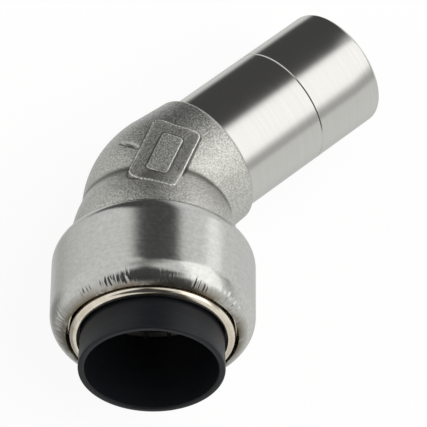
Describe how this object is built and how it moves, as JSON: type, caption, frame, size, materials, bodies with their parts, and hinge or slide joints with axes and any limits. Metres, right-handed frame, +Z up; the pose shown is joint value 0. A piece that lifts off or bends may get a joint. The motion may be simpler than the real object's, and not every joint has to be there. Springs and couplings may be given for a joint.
{
  "type": "forty-five degree push-fit pipe elbow",
  "caption": "Steel push-fit pipe elbow, turned forty-five degrees, with a gripping socket, a black release collar and a plain spigot.",
  "frame": {"origin": "middle of the socket's mouth, in the outer face of the retaining ring", "axes": "+Z up from the ground that the elbow lies on, -Y out of the socket and 15.2 degrees below its axis, +X to the side that the spigot turns to"},
  "size_m": [0.0383, 0.0536, 0.0249],
  "materials": {
    "cast_steel": "matte",
    "brushed_sleeve": "satin",
    "bright_ring": "polished",
    "black_plastic": "satin",
    "spring_steel": "satin",
    "washer_plastic": "matte",
    "seal_rubber": "matte"
  },
  "bodies": {
    "fitting": {"body": "cast_steel", "end_cap": "brushed_sleeve", "retaining_ring": "bright_ring", "grab_ring": "spring_steel", "o_ring_washer": "washer_plastic", "o_ring": "seal_rubber"},
    "collar": {"release_collar": "black_plastic"}
  },
  "joints": [
    {"name": "collar_release", "type": "slide", "parent": "fitting", "child": "collar", "axis": [0, 0.9652, -0.2615], "range_m": [0, 0.0016], "stiffness_N_per_m": 1500, "deforming": ["grab_ring"]}
  ]
}
